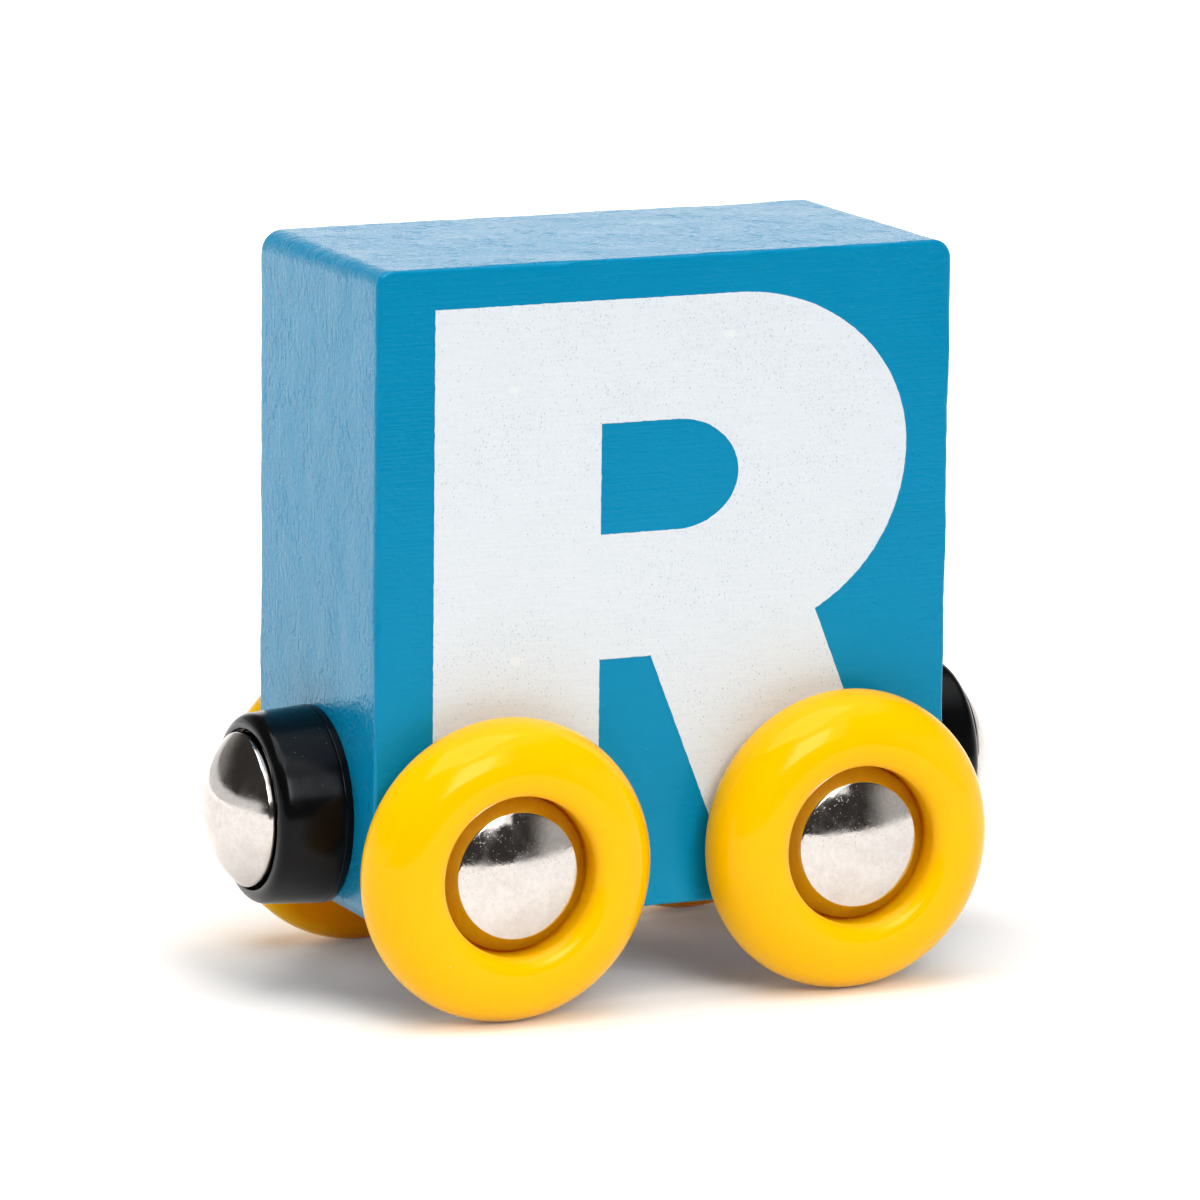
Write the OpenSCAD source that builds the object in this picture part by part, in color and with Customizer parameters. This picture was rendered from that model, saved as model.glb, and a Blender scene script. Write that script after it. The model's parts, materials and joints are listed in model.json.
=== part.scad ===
// Letter train car: a painted wooden block on four plastic wheels, with a letter
// printed on both large faces and a magnet coupling at each end.
// X runs along the track, Y across it and Z up. The wheels stand on Z = 0.

/* [Block] */
// Length of the block along the track
block_l = 44.6; // [40:0.2:56]
// Thickness of the block across the track
block_w = 21.6; // [18:0.2:26]
// Height of the block
block_h = 47; // [43:0.5:60]
// Radius of the four corners seen from the side
corner_r = 1.6; // [0.8:0.1:4]
// Width of the sanded edge round the two large faces
edge_break = 0.4; // [0.2:0.05:0.8]

/* [Letter] */
// Bare margin left of the letter
letter_left = 4.4; // [3:0.1:6]
// Bare margin right of the letter
letter_right = 3.4; // [3:0.1:6]
// Bare margin above the letter
letter_top = 2.9; // [2:0.1:5]
// Bare margin below the letter
letter_foot = 2.9; // [2:0.1:5]
// Width of the upright stem
stem_w = 12.8; // [8:0.1:14]
// Width of the bowl's stroke at its right side
bowl_w = 13.3; // [8:0.1:14]
// Thickness of the bar above the counter
top_bar = 8.8; // [6:0.1:10]
// Thickness of the bar below the counter
mid_bar = 9; // [6:0.1:10]
// Height of the counter, the closed hole in the letter
counter_h = 7.95; // [6:0.05:10]
// Length of the counter's round end
counter_reach = 4.8; // [3:0.1:6]
// Length of the bowl's curve along the top
bowl_reach = 13.4; // [9:0.1:16]
// Height of the bowl's upper curve
bowl_upper = 11.6; // [9:0.1:13]
// Height of the bowl's lower curve
bowl_lower = 13.2; // [9:0.1:14]
// Width of the notch between stem and leg, at its top
notch_w = 4; // [2:0.1:6]
// Width of the leg along the foot line
leg_w = 13.9; // [8:0.1:15]
// Thickness of the printed paint
print_t = 0.1; // [0.05:0.01:0.2]

/* [Wheels] */
// Distance between the two axles
wheelbase = 26.65; // [25:0.05:30]
// Height of the axles above the block's underside
axle_rise = 4.34; // [3.5:0.02:8]
// Diameter of the axles
axle_d = 3; // [2.5:0.1:4]
// Diameter of the wheels over the tread
wheel_d = 21.86; // [20:0.02:24.5]
// Width of a wheel from its boss to the crest of its face
wheel_w = 5.5; // [5:0.1:7]
// Gap between the block and a wheel's boss
wheel_gap = 0.45; // [0.3:0.05:1.5]
// Diameter of the boss on a wheel's inner side
boss_d = 7.2; // [6:0.1:9]
// Distance that the rim lies back from the boss
rim_back = 0.5; // [0.2:0.05:1]
// Radius of the rim's inner edge
rim_round = 1.4; // [0.8:0.1:1.6]
// Width of the flat of the tread
tread_w = 0.2; // [0.1:0.05:1]
// Width of the rounded lip round the cap's recess
lip_w = 1.5; // [0.8:0.1:2]
// Depth of the rounded lip
lip_h = 1; // [0.6:0.1:1.4]
// Thickness of the hub web at the axle
web_t = 2.6; // [2:0.1:3]

/* [Hub caps] */
// Diameter of a cap's skirt
cap_d = 11.2; // [10:0.1:12]
// Diameter of a cap's crown, where the bevel starts
crown_d = 9.1; // [8:0.1:9.5]
// Radius of the crown's curve
crown_r = 13; // [9:0.5:20]
// Distance from the crest of the wheel's face down to the top of the cap
cap_sink = 0.4; // [0:0.05:0.6]
// Height of the straight skirt
cap_skirt = 0.38; // [0.3:0.02:0.6]
// Thickness of the cap's sheet
cap_t = 0.5; // [0.4:0.05:0.6]
// Gap between a cap and the wall of its recess
cap_gap = 0.15; // [0.1:0.01:0.3]
// Thickness of the grip ring inside a cap
grip_t = 0.45; // [0.4:0.05:0.5]
// Width of the slots between the ring's teeth
grip_slot = 0.5; // [0.3:0.05:0.7]
// Length of the teeth
tooth_l = 1.2; // [0.8:0.1:1.6]
// Length of axle beyond the grip ring
axle_stub = 0.6; // [0.3:0.05:0.7]
// Bevel on the axle's ends
axle_bevel = 0.3; // [0.1:0.05:0.5]

/* [Couplings] */
// Height of the couplings above the block's underside
coupling_rise = 7.12; // [6.6:0.02:12]
// Diameter of the bright dome
dome_d = 11.1; // [9:0.1:12]
// Height of the dome's curve
dome_h = 2.55; // [1.5:0.05:4]
// Height of the dome's edge above the collar's lip
dome_stand = 0.45; // [0.2:0.05:1]
// Depth of the magnet's seat behind the dome's edge
dome_seat = 0.2; // [0.1:0.05:0.4]
// Thickness of the dome's skirt
skirt_t = 0.6; // [0.4:0.05:1]
// Width of the flange that the lip traps
catch_w = 0.35; // [0.25:0.05:0.6]
// Thickness of that flange
catch_t = 0.6; // [0.4:0.05:1]
// Depth of the collar from the block's end to the lip
collar_h = 5.35; // [5:0.05:8]
// Wall of the collar at its front
collar_wall = 0.61; // [0.5:0.01:1.5]
// Extra radius of the collar at its back, for the moulding draft
collar_draft = 0.26; // [0.1:0.02:0.6]
// Depth of the rounded front of the collar
nose_h = 0.95; // [0.6:0.05:1.2]
// Thickness of the lip
lip_t = 0.9; // [0.6:0.05:1.2]
// Width of the flat front of the lip
lip_flat = 0.15; // [0.1:0.05:0.3]
// Thickness of the base's flange
base_t = 0.6; // [0.4:0.05:1]
// Height of the base's boss, which centres the collar
boss_h = 0.8; // [0.7:0.05:1]
// Diameter of the base's spigot in the block
spigot_d = 6; // [5:0.1:8]
// Length of the spigot
spigot_l = 2; // [1.5:0.1:2.5]
// Thickness of the magnet
magnet_t = 3.6; // [3:0.05:3.8]
// Diameter of the screw's shank
screw_d = 2.5; // [2:0.1:3]
// Diameter of the screw's countersunk head
head_d = 4.6; // [4:0.1:5]
// Depth of the screw's head below the boss
head_sink = 0.1; // [0.05:0.05:0.2]
// Width of the slot in the screw's head
slot_w = 0.7; // [0.5:0.05:1]
// Depth of that slot
slot_h = 0.6; // [0.4:0.05:0.7]
// Length of the screw's point
point_l = 1.5; // [1:0.1:2]
// Wood left between the screw's point and the axle's bore
screw_wall = 0.8; // [0.5:0.1:1.5]
// Room left beyond the ends of the spigot and of the screw
relief = 0.2; // [0.1:0.05:0.4]

/* [Fits] */
// Radial clearance of an axle in the block
axle_clear = 0.1; // [0.02:0.01:0.1]
// Radial clearance of a wheel on its axle
wheel_clear = 0.08; // [0.02:0.01:0.1]
// Gap between a wheel's web and the cap and ring beyond it
end_gap = 0.25; // [0.1:0.05:0.4]
// Radial clearance of the dome's flange in the collar
spin_clear = 0.08; // [0.02:0.01:0.1]
// Gap round the dome where it leaves the collar
dome_gap = 0.25; // [0.15:0.05:0.4]
// End clearance of the dome's flange behind the lip
catch_gap = 0.15; // [0.1:0.05:0.3]
// Clearance of seated pieces
seat_gap = 0.03; // [0.02:0.01:0.06]
// Clearance of pressed pieces
press_gap = 0.01; // [0.01:0.005:0.02]

/* [Hidden] */
$fn = 96;

BLUE = "#138FBB";
WHITE = "#EAEFF3";
YELLOW = "#FFCB00";
BRIGHT = "#D8D3CE";
STEEL = "#9A9C9E";
BLACK = "#151515";
DARK = "#4A4A4C";

// heights and places
axle_z = wheel_d / 2;
under_z = axle_z - axle_rise;
axle_x = wheelbase / 2;
hub_y = block_w / 2 + wheel_gap;
coupling_z = under_z + coupling_rise;
end_x = block_l / 2;
bore_r = axle_d / 2 + axle_clear;

// letter
letter_w = block_l - letter_left - letter_right;
letter_h = block_h - letter_top - letter_foot;
notch_h = letter_h - top_bar - counter_h - mid_bar;
bowl_x = letter_w - bowl_reach;
bowl_z = letter_h - bowl_upper;
counter_x = letter_w - bowl_w - counter_reach;
counter_z = notch_h + mid_bar + counter_h / 2;
leg_lean = (letter_w - leg_w - stem_w - notch_w) / notch_h;
// angle along the bowl's lower curve where the leg leaves it
leg_drop = leg_lean * bowl_lower;
join_a = acos((bowl_reach - leg_lean * bowl_z) / sqrt(bowl_reach * bowl_reach + leg_drop * leg_drop))
    - atan2(leg_drop, bowl_reach);

// wheel and cap, measured outwards from the boss's face
tread_r = wheel_d / 2;
cap_r = cap_d / 2;
edge_r = crown_d / 2;
recess_r = cap_r + cap_gap;
crest_r = recess_r + lip_w;
shoulder_h = wheel_w - rim_back - rim_round - tread_w;
cap_foot = web_t + end_gap;
cap_top = wheel_w - cap_sink;
crown_z = cap_top - crown_r;
edge_a = asin(edge_r / crown_r);
edge_z = crown_z + crown_r * cos(edge_a);
skirt_z = cap_foot + cap_skirt;
bevel_a = atan2(edge_z - skirt_z, cap_r - edge_r);
inner_corner_z = skirt_z - cap_t * (1 - sin(bevel_a)) / cos(bevel_a);
edge_turn = 1 + sin(edge_a) * sin(bevel_a) + cos(edge_a) * cos(bevel_a);
inner_edge_r = edge_r - cap_t * (sin(edge_a) + sin(bevel_a)) / edge_turn;
inner_edge_z = edge_z - cap_t * (cos(edge_a) + cos(bevel_a)) / edge_turn;
inner_a = asin(inner_edge_r / (crown_r - cap_t));
grip_z = cap_foot;
grip_top = grip_z + grip_t;
grip_rise = max(0, grip_top - inner_corner_z);
grip_r = cap_r - cap_t - grip_rise / tan(bevel_a) - press_gap;
axle_end = grip_top + axle_stub;
axle_l = 2 * (hub_y + axle_end);

// coupling, measured outwards from the block's end
dome_r = dome_d / 2;
mouth_r = dome_r + dome_gap;
catch_r = mouth_r + catch_w;
cavity_r = catch_r + spin_clear;
collar_r = cavity_r + collar_wall;
back_r = collar_r + collar_draft;
nose_r = mouth_r + lip_flat;
lip_back = collar_h - lip_t;
catch_front = lip_back - catch_gap;
catch_back = catch_front - catch_t;
dome_edge = collar_h + dome_stand;
dome_curve_r = (dome_r * dome_r + dome_h * dome_h) / (2 * dome_h);
dome_a = asin(dome_r / dome_curve_r);
seat_z = dome_edge - dome_seat;
magnet_front_z = seat_z - seat_gap;
magnet_r = dome_r - skirt_t - seat_gap;
base_front = base_t + boss_h;
head_z = base_front - head_sink;
shank_z = head_z - (head_d - screw_d) / 2;
socket_l = spigot_l + relief;
screw_tip = end_x - axle_x - bore_r - screw_wall;
pilot_l = screw_tip + relief;

// points on an oval arc, from angle a0 to a1
function arc(cx, cy, rx, ry, a0, a1, n) =
    [for (i = [0 : n]) let (a = a0 + (a1 - a0) * i / n) [cx + rx * cos(a), cy + ry * sin(a)]];

// place something on a wheel's axis: side is -1 on the near face and 1 on the far one
module at_wheel(x, side) {
    translate([x, side * hub_y, axle_z]) rotate([-90 * side, 0, 0]) children();
}

// place something on a coupling's axis: way is 1 at the front end and -1 at the rear one
module at_end(way) {
    translate([way * end_x, 0, coupling_z]) rotate([0, 90 * way, 0]) children();
}

module side_outline() {
    union() {
        square([block_l - 2 * corner_r, block_h], center = true);
        square([block_l, block_h - 2 * corner_r], center = true);
        for (x = [-1, 1], y = [-1, 1])
            translate([x * (block_l / 2 - corner_r), y * (block_h / 2 - corner_r)])
                circle(r = corner_r);
    }
}

// a rectangle with its corners cut by the sanded edge
module broken_outline(a, b) {
    polygon([
        [-a / 2 + edge_break, -b / 2], [a / 2 - edge_break, -b / 2],
        [a / 2, -b / 2 + edge_break], [a / 2, b / 2 - edge_break],
        [a / 2 - edge_break, b / 2], [-a / 2 + edge_break, b / 2],
        [-a / 2, b / 2 - edge_break], [-a / 2, -b / 2 + edge_break]
    ]);
}

module block_body() {
    intersection() {
        rotate([90, 0, 0])
            linear_extrude(block_w, center = true) side_outline();
        linear_extrude(block_h + 2, center = true) broken_outline(block_l, block_w);
        rotate([90, 0, 90])
            linear_extrude(block_l + 2, center = true) broken_outline(block_w, block_h);
    }
}

module axle_bores() {
    for (x = [-axle_x, axle_x])
        translate([x, 0, axle_z]) rotate([90, 0, 0])
            cylinder(h = block_w + 2, r = bore_r, center = true);
}

module block() {
    color(BLUE)
    difference() {
        translate([0, 0, under_z + block_h / 2]) block_body();
        axle_bores();
        for (way = [-1, 1])
            at_end(way) {
                translate([0, 0, -socket_l]) cylinder(h = socket_l + 1, r = spigot_d / 2 + seat_gap);
                translate([0, 0, -pilot_l]) cylinder(h = pilot_l, r = screw_d / 2 + press_gap);
            }
    }
}

// the letter's outline, with its lower left corner at the origin
module letter_outline() {
    difference() {
        polygon(concat(
            [[0, 0], [stem_w, 0], [stem_w, notch_h], [stem_w + notch_w, notch_h]],
            [[letter_w - leg_w, 0], [letter_w, 0]],
            arc(bowl_x, bowl_z, bowl_reach, bowl_lower, -join_a, 0, 20),
            arc(bowl_x, bowl_z, bowl_reach, bowl_upper, 4.5, 90, 19),
            [[0, letter_h]]));
        polygon(concat(
            [[stem_w, counter_z + counter_h / 2]],
            arc(counter_x, counter_z, counter_reach, counter_h / 2, 90, -90, 32),
            [[stem_w, counter_z - counter_h / 2]]));
    }
}

// the paint lies on the face, and the axle bores go through it
module letter(side) {
    color(WHITE)
    difference() {
        rotate([0, 0, side < 0 ? 0 : 180])
            translate([letter_left - end_x, -block_w / 2, under_z + letter_foot])
                rotate([90, 0, 0]) linear_extrude(print_t) letter_outline();
        axle_bores();
    }
}

module axle(x) {
    color(STEEL)
    translate([x, 0, axle_z]) rotate([90, 0, 0])
        rotate_extrude() polygon([
            [0, -axle_l / 2], [axle_d / 2 - axle_bevel, -axle_l / 2],
            [axle_d / 2, -axle_l / 2 + axle_bevel], [axle_d / 2, axle_l / 2 - axle_bevel],
            [axle_d / 2 - axle_bevel, axle_l / 2], [0, axle_l / 2]
        ]);
}

module wheel(x, side) {
    color(YELLOW)
    at_wheel(x, side)
    difference() {
        rotate_extrude() polygon(concat(
            [[0, 0], [boss_d / 2, 0], [boss_d / 2 + rim_back, rim_back]],
            arc(tread_r - rim_round, rim_back + rim_round, rim_round, rim_round, -90, 0, 6),
            arc(crest_r, wheel_w - shoulder_h, tread_r - crest_r, shoulder_h, 0, 90, 14),
            arc(crest_r, wheel_w - lip_h, lip_w, lip_h, 96, 180, 8),
            [[recess_r, web_t], [0, web_t]]));
        translate([0, 0, -1]) cylinder(h = web_t + 2, r = axle_d / 2 + wheel_clear);
    }
}

module cap(x, side) {
    color(BRIGHT)
    at_wheel(x, side)
        rotate_extrude() polygon(concat(
            [[cap_r - cap_t, cap_foot], [cap_r, cap_foot], [cap_r, skirt_z]],
            arc(0, crown_z, crown_r, crown_r, 90 - edge_a, 90, 8),
            arc(0, crown_z, crown_r - cap_t, crown_r - cap_t, 90, 90 - inner_a * 7 / 8, 7),
            [[inner_edge_r, inner_edge_z], [cap_r - cap_t, inner_corner_z]]));
}

module grip(x, side) {
    color(STEEL)
    at_wheel(x, side)
    difference() {
        translate([0, 0, grip_z]) cylinder(h = grip_t, r = grip_r);
        translate([0, 0, grip_z - 1]) cylinder(h = grip_t + 2, r = axle_d / 2 + press_gap);
        for (a = [0 : 60 : 300])
            rotate([0, 0, a]) translate([0, -grip_slot / 2, grip_z - 1])
                cube([axle_d / 2 + tooth_l, grip_slot, grip_t + 2]);
    }
}

module coupling_base(way) {
    color(BLACK)
    at_end(way)
    difference() {
        union() {
            cylinder(h = base_t, r = back_r);
            cylinder(h = base_front, r = cavity_r - seat_gap);
            translate([0, 0, -spigot_l]) cylinder(h = spigot_l + base_t, r = spigot_d / 2);
        }
        translate([0, 0, -spigot_l - 1])
            cylinder(h = spigot_l + base_front + 2, r = screw_d / 2 + seat_gap);
        translate([0, 0, shank_z])
            cylinder(h = base_front - shank_z + 0.5, r1 = screw_d / 2 + seat_gap,
                r2 = screw_d / 2 + seat_gap + base_front - shank_z + 0.5);
    }
}

module coupling_shell(way) {
    color(BLACK)
    at_end(way)
        rotate_extrude() polygon(concat(
            [[cavity_r, base_t], [back_r, base_t]],
            arc(nose_r, collar_h - nose_h, collar_r - nose_r, nose_h, 0, 90, 8),
            [[mouth_r, collar_h], [mouth_r, lip_back], [cavity_r, lip_back]]));
}

module magnet(way) {
    color(DARK)
    at_end(way) translate([0, 0, magnet_front_z - magnet_t]) cylinder(h = magnet_t, r = magnet_r);
}

module pole_cap(way) {
    color(BRIGHT)
    at_end(way)
        rotate_extrude() polygon(concat(
            [[dome_r - skirt_t, catch_back], [catch_r, catch_back]],
            [[catch_r, catch_front], [dome_r, catch_front]],
            arc(0, dome_edge + dome_h - dome_curve_r, dome_curve_r, dome_curve_r, 90 - dome_a, 90, 10),
            [[0, seat_z], [dome_r - skirt_t, seat_z]]));
}

module screw(way) {
    color(STEEL)
    at_end(way)
    difference() {
        rotate_extrude() polygon([
            [0, -screw_tip], [screw_d / 2, point_l - screw_tip], [screw_d / 2, shank_z],
            [head_d / 2, head_z], [0, head_z]
        ]);
        translate([-head_d, -slot_w / 2, head_z - slot_h]) cube([2 * head_d, slot_w, 2 * slot_h]);
    }
}

block();
letter(-1);  // letter_near
letter(1);  // letter_far
axle(axle_x);  // axle_front
axle(-axle_x);  // axle_rear
wheel(axle_x, -1);  // wheel_front_near
wheel(axle_x, 1);  // wheel_front_far
wheel(-axle_x, -1);  // wheel_rear_near
wheel(-axle_x, 1);  // wheel_rear_far
cap(axle_x, -1);  // cap_front_near
cap(axle_x, 1);  // cap_front_far
cap(-axle_x, -1);  // cap_rear_near
cap(-axle_x, 1);  // cap_rear_far
grip(axle_x, -1);  // grip_front_near
grip(axle_x, 1);  // grip_front_far
grip(-axle_x, -1);  // grip_rear_near
grip(-axle_x, 1);  // grip_rear_far
coupling_base(1);  // coupling_base_front
coupling_base(-1);  // coupling_base_rear
coupling_shell(1);  // coupling_shell_front
coupling_shell(-1);  // coupling_shell_rear
magnet(1);  // magnet_front
magnet(-1);  // magnet_rear
pole_cap(1);  // pole_cap_front
pole_cap(-1);  // pole_cap_rear
screw(1);  // screw_front
screw(-1);  // screw_rear
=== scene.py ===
# %% [markdown]
# # A toy train car with a letter
# The car is a painted wooden block on four plastic wheels, with a letter printed on both large
# faces and a magnet coupling at each end. Its construction model gives the sizes and the joints.
# This lesson gives each piece that shows a finer surface, worked out with numpy, then a finish,
# and at last a floor and light.

# %% Load the frame
import json
import math

import bmesh
import bpy
import numpy as np
from mathutils import Matrix, Vector

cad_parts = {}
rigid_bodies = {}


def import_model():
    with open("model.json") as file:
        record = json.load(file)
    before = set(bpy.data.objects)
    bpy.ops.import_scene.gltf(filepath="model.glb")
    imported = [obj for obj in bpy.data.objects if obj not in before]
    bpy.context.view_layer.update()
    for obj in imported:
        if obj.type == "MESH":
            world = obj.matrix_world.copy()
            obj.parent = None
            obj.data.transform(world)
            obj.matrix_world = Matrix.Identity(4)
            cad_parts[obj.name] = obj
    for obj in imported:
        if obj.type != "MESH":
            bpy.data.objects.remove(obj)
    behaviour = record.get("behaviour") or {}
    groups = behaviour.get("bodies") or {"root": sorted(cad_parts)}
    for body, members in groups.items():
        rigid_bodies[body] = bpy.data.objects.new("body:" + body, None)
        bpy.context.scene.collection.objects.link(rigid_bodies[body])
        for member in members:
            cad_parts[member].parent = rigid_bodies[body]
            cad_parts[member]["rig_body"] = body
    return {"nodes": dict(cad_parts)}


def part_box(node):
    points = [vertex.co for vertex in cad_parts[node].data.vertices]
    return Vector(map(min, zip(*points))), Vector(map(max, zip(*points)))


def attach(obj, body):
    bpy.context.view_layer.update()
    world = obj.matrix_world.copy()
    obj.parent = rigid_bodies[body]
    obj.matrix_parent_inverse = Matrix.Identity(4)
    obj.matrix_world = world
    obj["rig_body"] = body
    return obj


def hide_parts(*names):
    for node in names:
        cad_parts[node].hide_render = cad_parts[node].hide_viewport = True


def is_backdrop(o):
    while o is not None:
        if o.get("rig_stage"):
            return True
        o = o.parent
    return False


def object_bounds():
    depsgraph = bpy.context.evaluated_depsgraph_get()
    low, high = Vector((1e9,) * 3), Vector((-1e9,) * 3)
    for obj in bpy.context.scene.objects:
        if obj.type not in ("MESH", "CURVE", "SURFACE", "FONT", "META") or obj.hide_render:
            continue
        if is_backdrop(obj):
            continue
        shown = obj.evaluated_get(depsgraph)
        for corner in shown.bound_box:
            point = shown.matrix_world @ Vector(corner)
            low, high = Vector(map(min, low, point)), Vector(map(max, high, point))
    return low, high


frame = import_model()
cad_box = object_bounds()
MM = 0.001

# %% [markdown]
# ## The camera
# The photograph was taken with a long lens, from a little above and from the left.
# A camera can be turned by eye until the edges agree. Here its angles were fitted to the block's
# edges and the wheels' outlines, so its matrix is written straight from those angles.

# %% Place the camera
AZIMUTH, ELEVATION, ROLL = (math.radians(a) for a in (-24.513, 11.186, 0.601))
DISTANCE, FOCUS_PIXELS, PHOTO_PIXELS = 564.871 * MM, 7815.04, 1200
AIM = Vector((-0.168, 0.0, 26.894)) * MM


def toward(azimuth, elevation):
    """Unit direction: azimuth 0 points to the near side (-Y), and positive angles turn to +X."""
    flat = math.cos(elevation)
    return Vector((math.sin(azimuth) * flat, -math.cos(azimuth) * flat, math.sin(elevation)))


back = toward(AZIMUTH, ELEVATION)
level = Vector((math.cos(AZIMUTH), math.sin(AZIMUTH), 0.0))
upward = back.cross(level)
right = level * math.cos(ROLL) + upward * math.sin(ROLL)
top = upward * math.cos(ROLL) - level * math.sin(ROLL)
eye = AIM + back * DISTANCE

lens = bpy.data.cameras.new("camera")
lens.sensor_width = 36.0
lens.lens = lens.sensor_width * FOCUS_PIXELS / PHOTO_PIXELS
lens.clip_start, lens.clip_end = 0.01, 20.0
camera = bpy.data.objects.new("camera", lens)
bpy.context.scene.collection.objects.link(camera)
rows = [(right[k], top[k], back[k], eye[k]) for k in range(3)]
camera.matrix_world = Matrix(rows + [(0, 0, 0, 1)])
bpy.context.scene.camera = camera
print("lens", round(lens.lens, 1), "mm, eye", [round(v, 3) for v in eye])

# %% [markdown]
# ## From numbers to a mesh
# A surface here is a grid of points: rows of a profile, and columns that run round it. The helper
# joins neighbours into quads, merges points that fall together, as on an axis, and turns all
# faces outwards. Sizes are in millimetres until the points go into the mesh.

# %% Mesh helpers
WELD = 1e-7


def grid_quads(rows, columns, ring_rows=False, ring_columns=True):
    """Quads of a grid of points, row by row. A ring joins its last row or column to the first."""
    starts = np.arange(rows - (not ring_rows)), np.arange(columns - (not ring_columns))
    i, j = np.meshgrid(*starts, indexing="ij")
    below, beside = (i + 1) % rows, (j + 1) % columns
    upper = i * columns + j, i * columns + beside
    lower = below * columns + beside, below * columns + j
    return np.stack(upper + lower, -1).reshape(-1, 4)


def make_piece(name, points, quads, node, flat=False):
    """A closed mesh from points in millimetres. It stands for a CAD node and rides on its body."""
    mesh = bpy.data.meshes.new(name)
    places = (np.reshape(points, (-1, 3)) * MM).tolist()
    mesh.from_pydata(places, [], np.asarray(quads).tolist())
    shape = bmesh.new()
    shape.from_mesh(mesh)
    bmesh.ops.remove_doubles(shape, verts=shape.verts, dist=WELD)
    bmesh.ops.recalc_face_normals(shape, faces=shape.faces)
    shape.to_mesh(mesh)
    shape.free()
    mesh.shade_flat() if flat else mesh.shade_smooth()
    piece = bpy.data.objects.new(name, mesh)
    bpy.context.scene.collection.objects.link(piece)
    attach(piece, frame["nodes"][node]["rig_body"])
    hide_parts(node)
    print(f"{name}: {len(mesh.vertices)} points, {len(mesh.polygons)} faces")
    return piece


def node_box(name):
    """Lowest and highest corner of a CAD node, in millimetres."""
    return np.array([list(corner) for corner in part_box(name)]) / MM


def ripple(points, wavelengths, height, seed, waves=40):
    """Smooth noise: a sum of cosine waves with random directions and phases. The wavelengths along
    X, Y and Z set how long its dents are each way, and height is its root mean square."""
    draw = np.random.default_rng(seed)
    pace = draw.normal(size=(waves, 3)) * 2 * np.pi / np.array(wavelengths)
    phase = draw.uniform(0, 2 * np.pi, waves)
    return height * np.cos(points @ pace.T + phase).sum(-1) * math.sqrt(2 / waves)


# %% [markdown]
# ## The block
# The real block is sawn, sanded on a belt and dipped in paint, so its corners are round, but less
# so towards the near face, its edges are softly and unevenly broken, and its narrow sides keep a
# trace of the belt. A bevelled cube would be too even. Here the side outline, a rounded rectangle,
# is the path, and a row of offsets carries it from the middle of one face over the edge and across
# to the other. Slow, shallow ripples dent the narrow sides.

# %% Block surface
CORNER, EDGE = 1.6, 0.27
QUADRANTS = np.array([(1, 1), (-1, 1), (-1, -1), (1, -1)])
SHARPER = np.array([0.12, 0.32, 0.15, 0.12])
EDGE_LEAST, EDGE_MOST = 0.35, 1.9
LONG_WAVER, SHORT_WAVER = ((9, 9, 9), 0.30), ((2.2, 2.2, 2.2), 0.08)
WIDE_DENTS, SMALL_DENTS = ((12, 7, 12), 0.010, 21), ((3.0, 2.4, 3.0), 0.004, 22)
LAST_RING = 1.25
block_low, block_high = node_box("block")
block_mid, block_half = (block_low + block_high) / 2, (block_high - block_low) / 2


def block_outline(y, straight=140, turn=10):
    """For each Y, four quarter circles with centres one corner radius inside the rectangle, joined
    by straights. From the far face to the near one, the radius falls evenly by each corner's
    sharper share. Returns the points for each Y and the outward directions, both as (X, Z)."""
    radius = CORNER * (1 - SHARPER * (0.5 - 0.5 * y / block_half[1]))[:, :, None]
    centres = QUADRANTS * (block_half[[0, 2]] - radius)
    angle = np.pi / 2 * np.arange(4)[:, None] + np.linspace(0, np.pi / 2, turn)
    out = np.stack([np.cos(angle), np.sin(angle)], -1)
    arcs = centres[:, :, None] + radius[..., None] * out
    t = np.linspace(0, 1, straight + 2)[1:-1, None]
    sides = arcs[:, :, -1:] * (1 - t) + np.roll(arcs[:, :, :1], -1, 1) * t
    ways = np.repeat(out[:, -1:], straight, 1)
    points = np.concatenate([arcs, sides], 2).reshape(len(y), -1, 2)
    return points, np.concatenate([out, ways], 1).reshape(-1, 2)


def block_rows(across=58, rings=8, bend=6):
    """One row per offset: how far the outline is shrunk to the middle of the face, how far it is
    set in, its depth along Y, and how strongly the dents show there. A last ring close to the edge
    keeps the face's shading flat up to it."""
    turn = np.linspace(0, np.pi / 2, bend)
    shrink = np.r_[np.linspace(0, 1, rings), np.ones(bend + across // 2)]
    inset = np.r_[np.full(rings, LAST_RING), 1 - np.sin(turn), np.zeros(across // 2)]
    rise = np.r_[np.zeros(rings), 1 - np.cos(turn), np.ones(across // 2)]
    run = np.r_[np.zeros(rings + bend), np.linspace(0, 1, across // 2 + 1)[1:]]
    dent = np.r_[np.zeros(rings), np.sin(turn), np.ones(across // 2)]
    return shrink, inset, rise, run, dent


def block_surface():
    """Each row is the outline moved in by the edge's arc; each column keeps its own edge width."""
    halves = []
    for side, seed in ((-1, 11), (1, 12)):
        shrink, inset, rise, run, dent = (row[:, None] for row in block_rows())
        path, out = block_outline(side * block_half[1] * (1 - run))
        place = np.insert(path[0], 1, 0, axis=-1)
        uneven = ripple(place, *LONG_WAVER, seed) + ripple(place, *SHORT_WAVER, seed + 5)
        edge = EDGE * np.clip(1 + uneven, EDGE_LEAST, EDGE_MOST)
        flat = shrink[..., None] * (path - out * (inset * edge)[..., None])
        depth = (block_half[1] - rise * edge) * (1 - run)
        points = np.stack([flat[..., 0], side * depth, flat[..., 1]], -1)
        bumps = ripple(points, *WIDE_DENTS) + ripple(points, *SMALL_DENTS)
        move = (dent * bumps)[..., None] * out
        points[..., 0] += move[..., 0]
        points[..., 2] += move[..., 1]
        halves.append(points if side < 0 else points[-2::-1])
    return np.concatenate(halves) + block_mid


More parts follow.
